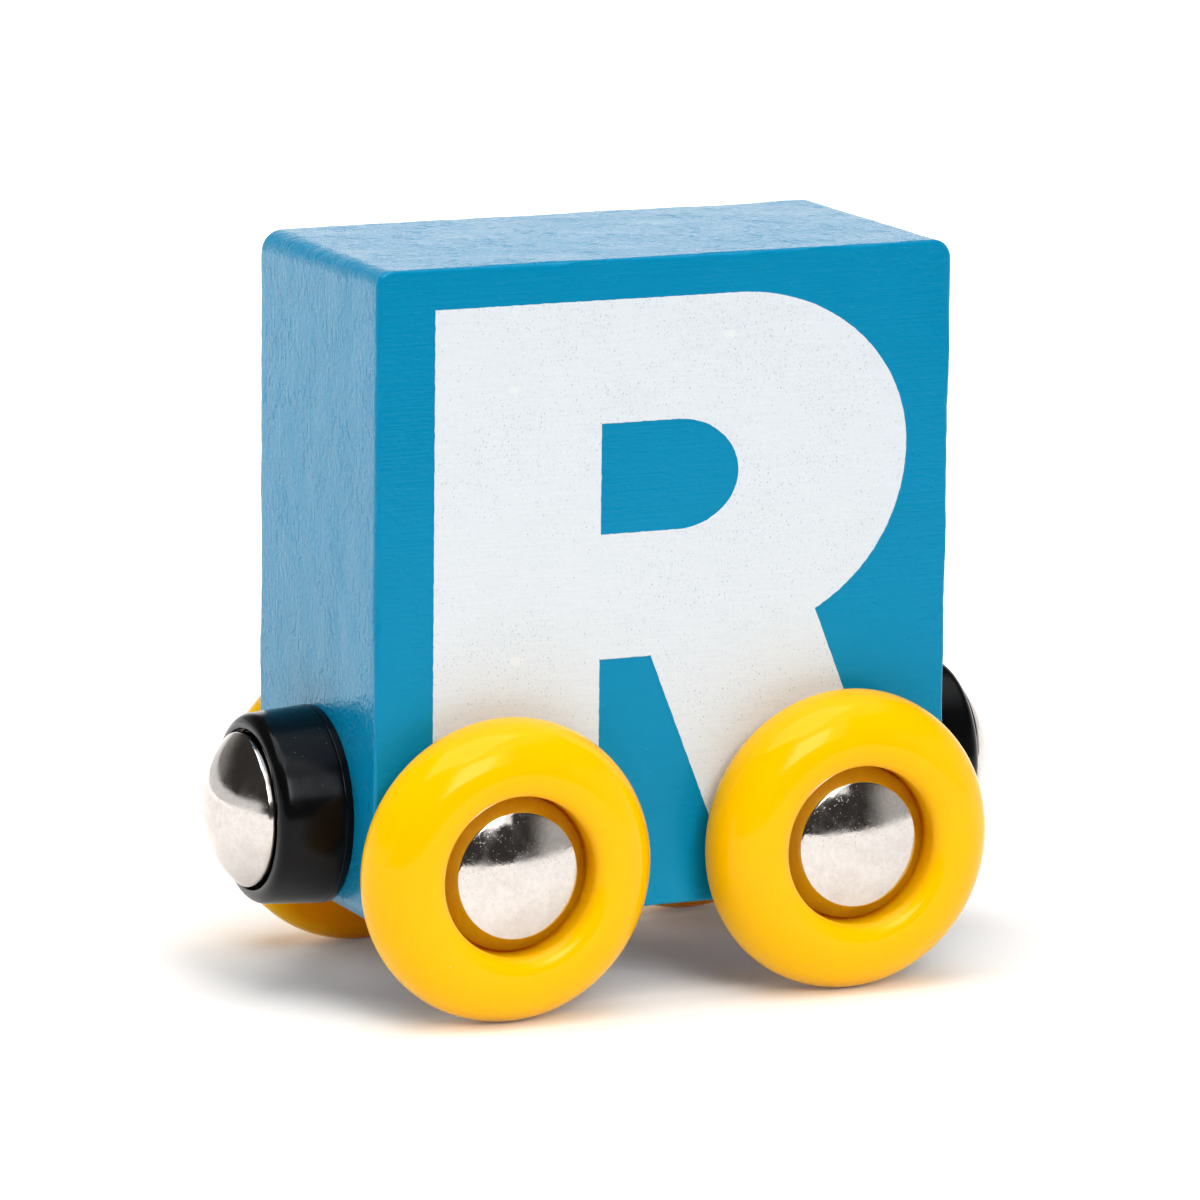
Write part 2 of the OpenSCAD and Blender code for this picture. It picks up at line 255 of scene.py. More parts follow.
surface = block_surface()
block = make_piece("block_painted", surface, grid_quads(*surface.shape[:2]), "block")

# %% [markdown]
# The paint's relief follows the sanding belt, so the block carries its own map: along and across
# the belt in millimetres on the narrow sides, and along X and Z on the two faces. A second value,
# the nap, says how rough the wood is there: the faces were sanded finer than the sides, and the
# rounded corners cut across the grain.

# %% Belt map
NAP_FACE, NAP_SIDE, NAP_CORNER = 0.32, 1.0, 1.5
FACE_NORMAL, CORNER_MARGIN = 0.75, 0.1


def belt_map(piece):
    """Unrolls the outline: along the top it is X, round a corner it grows by radius times angle,
    and down an end it grows by the drop. Faces whose normal points along Y take X and Z instead."""
    mesh = piece.data
    corner = np.zeros(len(mesh.loops), np.int64)
    total = np.zeros(len(mesh.polygons), np.int64)
    place, normal = np.zeros(len(mesh.vertices) * 3), np.zeros(len(mesh.polygons) * 3)
    mesh.loops.foreach_get("vertex_index", corner)
    mesh.polygons.foreach_get("loop_total", total)
    mesh.vertices.foreach_get("co", place)
    mesh.polygons.foreach_get("normal", normal)
    x, y, z = (place.reshape(-1, 3)[corner] / MM - block_mid).T
    on_face = np.repeat(np.abs(normal.reshape(-1, 3)[:, 1]) > FACE_NORMAL, total)
    run_x, run_z = block_half[0] - CORNER, block_half[2] - CORNER
    near_x, near_z = np.clip(x, -run_x, run_x), np.clip(z, -run_z, run_z)
    turn = np.pi / 2 - np.arctan2(z - near_z, x - near_x)
    turn = np.where(turn > np.pi, turn - 2 * np.pi, turn)
    sign = np.sign(turn)
    over = near_x + CORNER * turn + sign * (run_z - near_z)
    under = sign * (2 * run_x + 2 * run_z) + CORNER * turn - near_x
    along = np.where(np.abs(turn) <= np.pi / 2 + 1e-6, over, under)
    belt = np.stack([np.where(on_face, x, along), np.where(on_face, z, y)], -1)
    mesh.uv_layers.new(name="belt").data.foreach_set("uv", belt.astype(np.float32).ravel())
    past_x, past_z = np.abs(x) > run_x + CORNER_MARGIN, np.abs(z) > run_z + CORNER_MARGIN
    rough = np.where(past_x & past_z, NAP_CORNER, NAP_SIDE)
    nap = mesh.attributes.new("nap", "FLOAT", "CORNER")
    nap.data.foreach_set("value", np.where(on_face, NAP_FACE, rough).astype(np.float32))
    print("belt map spans", belt.min(0).round(1), "to", belt.max(0).round(1), "mm")


belt_map(block)

# %% [markdown]
# ## The printed letter
# The letter is a film of white paint, screen printed, so its outline wavers by a few hundredths of
# a millimetre. A text object would bring a typeface. This letter is drawn from its own straights
# and ovals: stem, bowl and leg are three ruled sheets, each the straight blend of two edge curves,
# which share their border points and weld into one. Solidify then gives the film its thickness.

# %% Letter sheets
STEM, BOWL, TOP_BAR, MID_BAR = 12.8, 13.3, 8.8, 9.0
COUNTER_H, COUNTER_REACH = 7.95, 4.8
BOWL_REACH, BOWL_UPPER, BOWL_LOWER = 13.4, 11.6, 13.2
NOTCH, NOTCH_SHARE, LEG = 4.0, 0.35, 13.9
TOP_RUN, UPPER_RUN, LOWER_RUN, CHORD_RUN = 12, 20, 24, 15
FILM, FILM_GAP, WAVER = 0.05, 0.01, 0.011

letter_low, letter_high = node_box("letter_near")
letter_w, letter_h = (letter_high - letter_low)[[0, 2]]
notch_h = letter_h - TOP_BAR - COUNTER_H - MID_BAR


def line(start, stop, count):
    """Points spread evenly from start to stop."""
    return np.linspace(start, stop, count)


def oval(centre, reach, start, stop, count):
    """Points on an oval arc: centre plus reach times cosine and sine of the angle in degrees."""
    angle = np.radians(np.linspace(start, stop, count))
    return np.asarray(centre) + np.asarray(reach) * np.stack([np.cos(angle), np.sin(angle)], -1)


def chain(*curves):
    """Curves end to end, without the points that they share."""
    return np.concatenate([curves[0]] + [curve[1:] for curve in curves[1:]])


def ruled(first, second, rows):
    """A sheet between two curves: each row is their straight blend."""
    blend = np.linspace(0, 1, rows)[:, None, None]
    return first * (1 - blend) + second * blend


def letter_sheets(step=0.3):
    """Stem, bowl and leg as grids of (X, Z), from the letter's lower left corner. The leg's right
    edge meets the bowl where its line crosses the lower oval."""
    low, high = notch_h + MID_BAR, notch_h + MID_BAR + COUNTER_H
    n = lambda length: max(3, int(length / step))
    rows = n(MID_BAR)
    heights = chain(line(0, notch_h, n(notch_h)), line(notch_h, low, rows),
                    line(low, high, n(COUNTER_H)), line(high, letter_h, rows))
    edge = np.stack([np.zeros(len(heights)), heights], -1)
    stem = ruled(edge, edge + (STEM, 0), n(STEM))

    bowl_mid = np.array([letter_w - BOWL_REACH, letter_h - BOWL_UPPER])
    counter_mid = np.array([letter_w - BOWL - COUNTER_REACH, (low + high) / 2])
    lean = (letter_w - LEG - STEM - NOTCH) / notch_h
    drop = lean * BOWL_LOWER
    crossing = math.acos((BOWL_REACH - lean * bowl_mid[1]) / math.hypot(BOWL_REACH, drop))
    join = crossing - math.atan2(drop, BOWL_REACH)
    join_at = bowl_mid + (BOWL_REACH * math.cos(join), -BOWL_LOWER * math.sin(join))
    crotch = np.array([STEM + NOTCH, notch_h])
    split = STEM + NOTCH_SHARE * (counter_mid[0] - STEM)
    k_top, k_up, k_down, k_chord, k_notch = (
        n(run) for run in (TOP_RUN, UPPER_RUN, LOWER_RUN, CHORD_RUN, NOTCH))
    outer = chain(line((STEM, letter_h), (bowl_mid[0], letter_h), k_top),
                  oval(bowl_mid, (BOWL_REACH, BOWL_UPPER), 90, 0, k_up),
                  oval(bowl_mid, (BOWL_REACH, BOWL_LOWER), 0, -math.degrees(join), k_down),
                  line(join_at, crotch, k_chord), line(crotch, (STEM, notch_h), k_notch))
    half = (COUNTER_REACH, COUNTER_H / 2)
    inner = chain(line((STEM, high), (counter_mid[0], high), k_top),
                  oval(counter_mid, half, 90, 0, k_up), oval(counter_mid, half, 0, -90, k_down),
                  line((counter_mid[0], low), (split, low), k_chord),
                  line((split, low), (STEM, low), k_notch))
    bowl = ruled(inner, outer, rows)
    foot = line((letter_w - LEG, 0), (letter_w, 0), k_chord)
    leg = ruled(line(crotch, join_at, k_chord), foot, n(notch_h))
    return stem, bowl, leg


def letter_piece(side):
    """Sets the sheets on a face. On the far side they turn half round with the car."""
    name = "letter_near" if side < 0 else "letter_far"
    sheets = letter_sheets()
    starts = np.cumsum([0] + [sheet.shape[0] * sheet.shape[1] for sheet in sheets])
    quads = np.concatenate([grid_quads(*sheet.shape[:2], ring_columns=False) + start
                            for sheet, start in zip(sheets, starts)])
    flat = np.concatenate([sheet.reshape(-1, 2) for sheet in sheets])
    place = np.stack([flat[:, 0], np.zeros(len(flat)), flat[:, 1]], -1)
    sideways = ripple(place, (1.6, 1, 0.7), WAVER, 31)
    upwards = ripple(place, (0.7, 1, 1.6), WAVER, 32)
    flat = flat + np.stack([sideways, upwards], -1)
    x, z = flat[:, 0] + letter_low[0], flat[:, 1] + letter_low[2]
    face = block_half[1] + FILM_GAP
    points = np.stack([-side * x, np.full(len(x), side * face), z], -1)
    piece = make_piece(name + "_printed", points, quads, name, flat=True)
    film = piece.modifiers.new("film", "SOLIDIFY")
    film.thickness, film.offset = FILM * MM, 0.0
    return piece


letters = [letter_piece(side) for side in (-1, 1)]

# %% [markdown]
# ## Turned pieces
# Wheels, hub caps and couplings are all round, so each is one profile carried round an axis. A
# profile of arcs and straights would show a faint ring in its reflection at each joint, because
# the curvature jumps there. A cubic spline through the same corners keeps the curvature steady.

# %% Spline profiles
def spline(control, closed, steps=5):
    """Uniform cubic spline: each stretch blends four neighbouring points with the weights
    (1-t)^3, 3t^3-6t^2+4, -3t^3+3t^2+3t+1 and t^3, each over 6. An open curve starts and ends on
    the axis, where radius 0 mirrors its neighbours."""
    t = np.linspace(0, 1, steps, endpoint=False)
    second, third = 3 * t**3 - 6 * t**2 + 4, -3 * t**3 + 3 * t**2 + 3 * t + 1
    weights = np.stack([(1 - t) ** 3, second, third, t**3], -1) / 6
    if closed:
        padded = np.concatenate([control[-1:], control, control[:2]])
    else:
        padded = np.concatenate([control[1:2] * (-1, 1), control, control[-2:-1] * (-1, 1)])
    four = np.stack([padded[k:len(padded) - 3 + k] for k in range(4)], 1)
    curve = np.einsum("tk,nkd->ntd", weights, four).reshape(-1, 2)
    if closed:
        return curve
    last = (padded[-3] + 4 * padded[-2] + padded[-1]) / 6
    return np.concatenate([curve, last[None]])


def soft_corners(*stretches):
    """Control points of a profile. A stretch is rows of (radius, distance, soft): a soft of 0 keeps
    the point as part of a smooth curve, and any other rounds that corner over about this distance.
    Rows of (radius, distance) alone are a smooth curve."""
    full = lambda s: np.atleast_2d(s) if np.shape(s)[-1] == 3 else np.c_[s, np.zeros(len(s))]
    rows = np.concatenate([full(s) for s in stretches])
    place, soft = rows[:, :2], rows[:, 2:]
    unit = lambda way: way / np.maximum(np.linalg.norm(way, axis=1, keepdims=True), 1e-9)
    before = place + soft * unit(np.roll(place, 1, 0) - place)
    after = place + soft * unit(np.roll(place, -1, 0) - place)
    is_corner = soft[:, 0] > 0
    keep = np.stack([is_corner, np.ones(len(rows), bool), is_corner], 1)
    return np.stack([before, place, after], 1)[keep]


def turn_piece(name, profile, closed, centre, out, node, around=192):
    """Carries (radius, distance) round the axis through centre along out:
    centre + radius (cos a U + sin a V) + distance out, where U and V are square to out."""
    out = np.asarray(out, float)
    u = np.cross((0, 0, 1), out)
    v = np.cross(out, u)
    angle = np.arange(around) * 2 * np.pi / around
    spoke = np.cos(angle)[:, None] * u + np.sin(angle)[:, None] * v
    points = centre + profile[:, None, :1] * spoke + profile[:, None, 1:] * out
    return make_piece(name, points, grid_quads(len(profile), around, ring_rows=closed), node)


# %% [markdown]
# ## The wheels
# Each wheel is moulded in one piece: a round rim, a rolled face and a deep recess with a rounded
# lip, where the hub cap sits. Its inner side has a boss that keeps the rim off the block. Two
# values on its points say later where a deeper amber is painted in as painted shade, in the
# recess and on the inner side, and how deep the light goes in.

# %% Turn the wheels
BOSS, RIM_BACK, RIM_ROUND, TREAD = 3.6, 0.5, 1.4, 0.2
BORE, WEB, RECESS = 1.58, 2.6, 5.75
LIP_W, LIP_H, LIP_FOOT = 1.5, 1.0, 0.35
PAINTED_SHADE_STEP, DEEP_STEP, RECESS_SHARE = 0.5, 0.12, 0.6
ENDS = {"front": 1, "rear": -1}
SIDES = {"near": -1, "far": 1}


def wheel_profile(radius, width):
    """Boss, back, tread, rolled face, lip, recess and bore, as (radius, distance from the boss)."""
    crest = RECESS + LIP_W
    shoulder = width - RIM_BACK - RIM_ROUND - TREAD
    return soft_corners(
        [(BORE, 0, 0.12), (BOSS, 0, 0.25), (BOSS + RIM_BACK, RIM_BACK, 0.25)],
        oval((radius - RIM_ROUND, RIM_BACK + RIM_ROUND), (RIM_ROUND, RIM_ROUND), -90, 0, 7),
        oval((crest, width - shoulder), (radius - crest, shoulder), 0, 84, 9),
        oval((crest, width - LIP_H), (LIP_W, LIP_H), 98, 172, 6),
        [(RECESS, width - LIP_H - LIP_FOOT, 0), (RECESS, WEB, 0.3), (BORE, WEB, 0.12)])


def wheel_place(node):
    """Axis point at the boss, outward direction, radius and width of a wheel from its CAD box."""
    low, high = node_box(node)
    mid = (low + high) / 2
    side = np.sign(mid[1])
    boss = np.array([mid[0], low[1] if side > 0 else high[1], mid[2]])
    return boss, np.array([0, side, 0]), (high[2] - low[2]) / 2, high[1] - low[1]


def soft_step(value):
    """0 below 0, 1 above 1, and 3 v^2 - 2 v^3 between."""
    value = np.clip(value, 0, 1)
    return value**2 * (3 - 2 * value)


def mark_painted_shade(piece, centre, side):
    """Gives each point its share of painted shade: 1 inside the recess and on the inner side, 0 on the
    tread and the rolled face, with a soft step between. There the finish paints a deeper amber for
    the shade that falls in the recess and behind the wheel. r is the distance from the axis, s the
    one from the boss. A second value, deep, is 1 on the inner side, which no lamp reaches, and the
    recess's share inside the recess."""
    place = np.zeros(len(piece.data.vertices) * 3)
    piece.data.vertices.foreach_get("co", place)
    x, y, z = (place.reshape(-1, 3) / MM - centre).T
    r, s = np.hypot(x, z), y * side
    inside = soft_step((RECESS + PAINTED_SHADE_STEP - r) / PAINTED_SHADE_STEP)
    behind = soft_step((RIM_BACK + RIM_ROUND - s) / RIM_ROUND)
    shaded = RECESS_SHARE * soft_step((RECESS + DEEP_STEP - r) / DEEP_STEP)
    for name, share in (("painted_shade", inside), ("deep", shaded)):
        mark = piece.data.attributes.new(name, "FLOAT", "POINT")
        mark.data.foreach_set("value", np.maximum(share, behind).astype(np.float32))


wheels = []
for end in ENDS:
    for side in SIDES:
        node = f"wheel_{end}_{side}"
        centre, out, radius, width = wheel_place(node)
        profile = spline(wheel_profile(radius, width), True)
        wheel = turn_piece(node + "_moulded", profile, True, centre, out, node)
        mark_painted_shade(wheel, centre, out[1])
        wheels.append(wheel)

# %% [markdown]
# ## The hub caps
# A hub cap is pressed from thin bright sheet: a shallow crown, a bevel that mirrors the yellow
# recess, and a short skirt. Drawn as a solid lid its edge would look too thick, so the profile
# goes over the outside and back along the inside, from axis to axis.

# %% Turn the hub caps
CAP_R, CROWN_EDGE, CROWN_CURVE, SHEET = 5.6, 4.55, 13.0, 0.5
CAP_FOOT, CAP_SKIRT, CAP_SINK = 2.85, 0.38, 0.4
SKIRT_DROP, INNER_EDGE, INNER_CROWN = 0.2, 0.3, 0.4


def cap_profile(width):
    """Outside: an arc of the crown's radius, the bevel and the skirt. Inside: the same, one sheet
    lower."""
    crest = width - CAP_SINK
    r = np.linspace(0, CROWN_EDGE, 9)[:-1]
    crown = np.stack([r, crest - CROWN_CURVE + np.sqrt(CROWN_CURVE**2 - r**2)], -1)
    edge = crest - CROWN_CURVE + math.sqrt(CROWN_CURVE**2 - CROWN_EDGE**2)
    skirt = CAP_FOOT + CAP_SKIRT
    under = crown[::-1] - (0, SHEET)
    outside = [(CROWN_EDGE, edge, 0.10), (CAP_R, skirt, 0.14), (CAP_R, CAP_FOOT, 0.08)]
    inside = [(CAP_R - SHEET, CAP_FOOT, 0.08), (CAP_R - SHEET, skirt - SKIRT_DROP, 0.1),
              (CROWN_EDGE - INNER_EDGE, edge - SHEET, 0.1)]
    return soft_corners(crown, outside + inside, under[under[:, 0] < CROWN_EDGE - INNER_CROWN])


caps = []
for end in ENDS:
    for side in SIDES:
        node = f"cap_{end}_{side}"
        centre, out, radius, width = wheel_place(f"wheel_{end}_{side}")
        profile = spline(cap_profile(width), False)
        caps.append(turn_piece(node + "_plated", profile, False, centre, out, node, 128))

# %% [markdown]
# ## The couplings
# A coupling is a black base screwed to the block, a black collar on it and a magnet behind a bright
# dome, which the collar's lip holds loosely so that it can turn. Base and collar meet in a fine
# seam, and a narrow dark gap runs round the dome. Each is its own turned piece, so both lines are
# real.

# %% Turn the couplings
BACK_R, COLLAR_R, CAVITY_R, MOUTH_R = 7.11, 6.85, 6.23, 5.8
BASE_T, BASE_BOSS, SPIGOT_R, SPIGOT_L, SCREW_R = 0.6, 0.8, 3.0, 2.0, 1.28
COUNTERSINK, BOSS_PLAY = 1.1, 0.03
COLLAR_H, NOSE_H, NOSE_R, LIP_T = 5.35, 0.95, 5.95, 0.9
DOME_R, DOME_H, DOME_EDGE, DOME_SEAT, DOME_SKIRT = 5.55, 2.55, 5.8, 0.2, 0.6
CATCH_R, CATCH_BACK, CATCH_FRONT = 6.15, 3.7, 4.3


def base_profile():
    """Flange, centring boss, screw hole with its countersink, and the spigot in the block."""
    front = BASE_T + BASE_BOSS
    boss = CAVITY_R - BOSS_PLAY
    return soft_corners([
        (SCREW_R, -SPIGOT_L, 0.1), (SPIGOT_R, -SPIGOT_L, 0.15), (SPIGOT_R, 0, 0.05),
        (BACK_R, 0, 0.08), (BACK_R, BASE_T, 0.14), (boss, BASE_T, 0.05), (boss, front, 0.15),
        (SCREW_R + COUNTERSINK, front, 0.08), (SCREW_R, front - COUNTERSINK, 0.08)])


def collar_profile():
    """A wall with draft, an oval nose, the lip round the dome, and the cavity behind it."""
    nose = oval((NOSE_R, COLLAR_H - NOSE_H), (COLLAR_R - NOSE_R, NOSE_H), 0, 84, 7)
    lip = COLLAR_H - LIP_T
    return soft_corners(
        [(CAVITY_R, BASE_T, 0.06), (BACK_R, BASE_T, 0.14)], nose,
        [(MOUTH_R, COLLAR_H, 0.12), (MOUTH_R, lip, 0.1), (CAVITY_R, lip, 0.08)])


def dome_profile():
    """The dome's arc through its edge and its crest, then skirt, flange and the magnet's seat."""
    curve = (DOME_R**2 + DOME_H**2) / (2 * DOME_H)
    angle = np.linspace(0, math.asin(DOME_R / curve), 11)[:-1]
    height = DOME_EDGE + DOME_H - curve + curve * np.cos(angle)
    arc = np.stack([curve * np.sin(angle), height], -1)
    inner, seat = DOME_R - DOME_SKIRT, DOME_EDGE - DOME_SEAT
    r = np.linspace(inner, 0, 6)
    floor = np.stack([r, np.full(len(r), seat)], -1)[1:]
    rim = [(DOME_R, DOME_EDGE, 0.22), (DOME_R, CATCH_FRONT, 0.08), (CATCH_R, CATCH_FRONT, 0.1),
           (CATCH_R, CATCH_BACK, 0.1), (inner, CATCH_BACK, 0.1), (inner, seat, 0.1)]
    return soft_corners(arc, rim, floor)


couplings, domes = [], []
for end, way in ENDS.items():
    low, high = node_box(f"coupling_shell_{end}")
    centre = np.array([way * block_half[0], 0, (low[2] + high[2]) / 2])
    out = np.array([way, 0, 0])
    for kind, profile in (("coupling_base", base_profile()), ("coupling_shell", collar_profile())):
        node = f"{kind}_{end}"
        couplings.append(turn_piece(node + "_moulded", spline(profile, True), True, centre, out,
                                    node, 160))
    node = f"pole_cap_{end}"
    domes.append(turn_piece(node + "_plated", spline(dome_profile(), False), False, centre, out,
                            node, 160))

# %% [markdown]
# ## Patterns that several finishes share
# Paint, plastic and metal all carry the same few kinds of flaw: a slow drift in tone, streaks along
# one direction, and scattered specks such as dust, pinholes and pits. Each is a node group with its
# own inputs, built once, so every finish sets only the sizes, in millimetres.

# %% Node helpers
def add(tree, kind, inputs=(), **settings):
    """One shader node. An input is a number, a colour or another node's output."""
    node = tree.nodes.new(kind if kind.startswith("NodeGroup") else "ShaderNode" + kind)
    for name, value in settings.items():
        setattr(node, name, value)
    for name, value in dict(inputs).items():
        if isinstance(value, bpy.types.NodeSocket):
            tree.links.new(value, node.inputs[name])
        else:
            node.inputs[name].default_value = value
    return node


def math_of(tree, operation, first, second=0.0):
    """The output of a math node for two numbers or outputs."""
    return add(tree, "Math", {0: first, 1: second}, operation=operation).outputs[0]


def times(tree, first, second):
    """The product of two numbers or outputs."""
    return math_of(tree, "MULTIPLY", first, second)


def plus(tree, first, second):
    """The sum of two numbers or outputs."""
    return math_of(tree, "ADD", first, second)


def minus(tree, first, second):
    """The difference of two numbers or outputs."""
    return math_of(tree, "SUBTRACT", first, second)


def tint(tree, amount, low, high):
    """A colour between low and high, by an amount from 0 to 1."""
    node = add(tree, "Mix", {"Factor": amount}, data_type="RGBA")
    for socket, value in zip(node.inputs[6:8], (low, high)):
        if isinstance(value, bpy.types.NodeSocket):
            tree.links.new(value, socket)
        else:
            socket.default_value = (*value, 1.0)
    return node.outputs[2]


def between(tree, value, start, stop, low=0.0, high=1.0):
    """Maps start..stop to low..high, with a soft step and nothing outside."""
    span = {"From Min": start, "From Max": stop, "To Min": low, "To Max": high}
    node = add(tree, "MapRange", {"Value": value, **span}, interpolation_type="SMOOTHSTEP")
    return node.outputs["Result"]


def new_group(name, numbers):
    """A group that takes a place in millimetres and some numbers, and puts out one value."""
    tree = bpy.data.node_groups.new(name, "ShaderNodeTree")
    tree.interface.new_socket("Place", in_out="INPUT", socket_type="NodeSocketVector")
    for title in numbers:
        tree.interface.new_socket(title, in_out="INPUT", socket_type="NodeSocketFloat")
    tree.interface.new_socket("Value", in_out="OUTPUT", socket_type="NodeSocketFloat")
    return tree, add(tree, "NodeGroupInput").outputs, add(tree, "NodeGroupOutput").inputs["Value"]


def place_over(tree, given, x, y, z):
    """A group's place, divided along each axis by one of its inputs."""
    sizes = add(tree, "CombineXYZ", {"X": given[x], "Y": given[y], "Z": given[z]}).outputs[0]
    return add(tree, "VectorMath", {0: given["Place"], 1: sizes}, operation="DIVIDE").outputs[0]


# %% Drift, streaks and specks
NOISE_LOW, NOISE_HIGH = 0.25, 0.75

drift_group, given, result = new_group("drift", ["Pitch"])
spot = place_over(drift_group, given, "Pitch", "Pitch", "Pitch")
cloud = add(drift_group, "TexNoise",
            {"Vector": spot, "Scale": 1.0, "Detail": 3.0, "Roughness": 0.55})
value = between(drift_group, cloud.outputs[0], NOISE_LOW, NOISE_HIGH)
drift_group.links.new(value, result)

streak_group, given, result = new_group("streaks", ["Length", "Width"])
spot = place_over(streak_group, given, "Length", "Width", "Width")
strands = add(streak_group, "TexNoise",
              {"Vector": spot, "Scale": 1.0, "Detail": 2.0, "Roughness": 0.5, "Distortion": 0.4})
value = between(streak_group, strands.outputs[0], NOISE_LOW, NOISE_HIGH)
streak_group.links.new(value, result)

speck_group, given, result = new_group("specks", ["Pitch", "Size", "Share"])
spot = place_over(speck_group, given, "Pitch", "Pitch", "Pitch")
cells = add(speck_group, "TexVoronoi", {"Vector": spot, "Scale": 1.0})
solid = times(speck_group, given["Size"], 0.5)
dots = between(speck_group, cells.outputs["Distance"], given["Size"], solid)
luck = add(speck_group, "SeparateColor", {0: cells.outputs["Color"]}).outputs[0]
chosen = math_of(speck_group, "LESS_THAN", luck, given["Share"])
speck_group.links.new(times(speck_group, dots, chosen), result)
print("shared patterns:", [group.name for group in (drift_group, streak_group, speck_group)])


# %% [markdown]
# ## Material helpers
# Patterns are read in millimetres, from Object coordinates or from the block's belt map, so they
# keep their size on every piece. The relief of a finish is a height in millimetres as well.

# %% Material helpers
def pattern(tree, group, place, **numbers):
    """Places a shared pattern in a material and gives its value."""
    return add(tree, "Group", {"Place": place, **numbers}, node_tree=group).outputs["Value"]


def stretched(tree, place, factors):
    """A place multiplied by a factor along each axis. A factor below 1 makes a pattern longer."""
    return add(tree, "VectorMath", {0: place, 1: factors}, operation="MULTIPLY").outputs[0]


def new_finish(name):
    """A material with its shader, and the place on the piece in millimetres."""
    finish = bpy.data.materials.new(name)
    finish.use_nodes = True
    tree = finish.node_tree
    spot = add(tree, "TexCoord").outputs["Object"]
    place = add(tree, "VectorMath", {0: spot, "Scale": 1 / MM}, operation="SCALE").outputs[0]
    return finish, tree, tree.nodes["Principled BSDF"], place


def relief(tree, shader, height):
    """Bends the light as a surface would whose height is given in millimetres."""
    bump = add(tree, "Bump", {"Height": height, "Strength": 1.0, "Distance": MM})
    tree.links.new(bump.outputs["Normal"], shader.inputs["Normal"])


def feed(tree, shader, **values):
    """Links outputs to the shader's sockets, or sets plain numbers on them."""
    for name, value in values.items():
        socket = shader.inputs[name.replace("_", " ")]
        if isinstance(value, bpy.types.NodeSocket):
            tree.links.new(value, socket)
        else:
            socket.default_value = value


def dress(pieces, finish):
    """Gives a finish to each piece."""
    for piece in pieces:
        piece.data.materials.append(finish)
    print(finish.name, len(finish.node_tree.nodes), "nodes")


# %% [markdown]
# ## Blue paint
# Two thin coats of satin paint lie on sanded wood. On the narrow sides the grain stands up: small
# dents along the belt's direction and a fine nap between them, which break the sheen. The two
# large faces are almost smooth, with faint lines. A flat blue would lose all that, so the relief
# comes from patterns on the belt map, and its strength from the block's own nap value. The hollows
# of the nap are a little duller than the rest, and their colour is painted deeper as painted shade.

# %% Blue paint
FUZZ_RISE, STRAND_RISE, DENT_DEPTH, LINE_RISE = 0.019, 0.009, 0.030, 0.006
BLUE_DARK, BLUE_LIGHT = (0.0005, 0.226, 0.422), (0.0008, 0.238, 0.442)
BLUE_LINE, BLUE_HOLLOW_SHADE = (0.004, 0.270, 0.500), (0.0002, 0.215, 0.425)
LINE_SHARE, DENT_SHARE, FUZZ_SHARE, HOLLOW_HAZE = 0.12, 0.55, 0.40, 0.16

blue_paint, tree, shader, place = new_finish("blue_paint")
belt = add(tree, "UVMap", uv_map="belt").outputs["UV"]
nap = add(tree, "Attribute", attribute_name="nap").outputs["Fac"]
slow = pattern(tree, drift_group, place, Pitch=9.0)
patches = between(tree, pattern(tree, drift_group, belt, Pitch=4.0), 0.30, 0.75)
scars = pattern(tree, streak_group, belt, Length=0.85, Width=0.52)
dents = times(tree, patches, between(tree, scars, 0.58, 0.90))
fuzz = pattern(tree, drift_group, belt, Pitch=0.42)
strands = pattern(tree, streak_group, belt, Length=0.75, Width=0.32)
lines = pattern(tree, streak_group, belt, Length=9.0, Width=0.16)

height = plus(tree, times(tree, fuzz, FUZZ_RISE), times(tree, strands, STRAND_RISE))
height = minus(tree, height, times(tree, dents, DENT_DEPTH))
height = plus(tree, times(tree, height, nap), times(tree, lines, LINE_RISE))
relief(tree, shader, height)

tone = tint(tree, slow, BLUE_DARK, BLUE_LIGHT)
tone = tint(tree, times(tree, lines, LINE_SHARE), tone, BLUE_LINE)
low_fuzz = between(tree, fuzz, 0.45, 0.05, 0.0, FUZZ_SHARE)
hollows = math_of(tree, "MAXIMUM", times(tree, dents, DENT_SHARE), low_fuzz)
# Painted shade: the hollows and dents of the nap are tinted a deeper blue.
tone = tint(tree, times(tree, hollows, nap), tone, BLUE_HOLLOW_SHADE)
haze = between(tree, slow, 0.0, 1.0, 0.15, 0.21)
haze = plus(tree, haze, times(tree, hollows, HOLLOW_HAZE))
feed(tree, shader, Base_Color=tone, Roughness=haze, IOR=1.42, Specular_Tint=(0.25, 0.78, 1.0, 1.0))
dress([block], blue_paint)

# %% [markdown]
# ## White print
# The white ink is pressed through a screen in one pass. It leaves pinholes, in clusters, where the
# blue shows through, faint level lines where it bridges the grain, and a few thicker dabs.

# %% White print
WHITE_DARK, WHITE_LIGHT = (0.688, 0.740, 0.787), (0.752, 0.800, 0.840)
WHITE_DAB, HOLE_TONE = (0.83, 0.85, 0.86), (0.22, 0.38, 0.50)
SMALL_SHARE, DAB_SHARE, HOLE_SHARE = 0.6, 0.6, 0.62
GRAIN_RISE, HOLE_DEPTH = 0.003, 0.010

white_print, tree, shader, place = new_finish("white_print")
cluster = between(tree, pattern(tree, drift_group, place, Pitch=7.0), 0.15, 0.85, 0.15, 1.0)
tall_place = stretched(tree, place, (1.0, 1.0, 0.55))
large_holes = pattern(tree, speck_group, tall_place, Pitch=0.30, Size=0.18, Share=cluster)
small_holes = pattern(tree, speck_group, tall_place, Pitch=0.17, Size=0.28, Share=cluster)
holes = math_of(tree, "MAXIMUM", large_holes, times(tree, small_holes, SMALL_SHARE))
grain = pattern(tree, streak_group, place, Length=2.4, Width=0.15)
mottle = pattern(tree, drift_group, place, Pitch=0.35)
long_place = stretched(tree, place, (0.6, 1.0, 1.0))
dabs = pattern(tree, speck_group, long_place, Pitch=2.4, Size=0.17, Share=0.22)

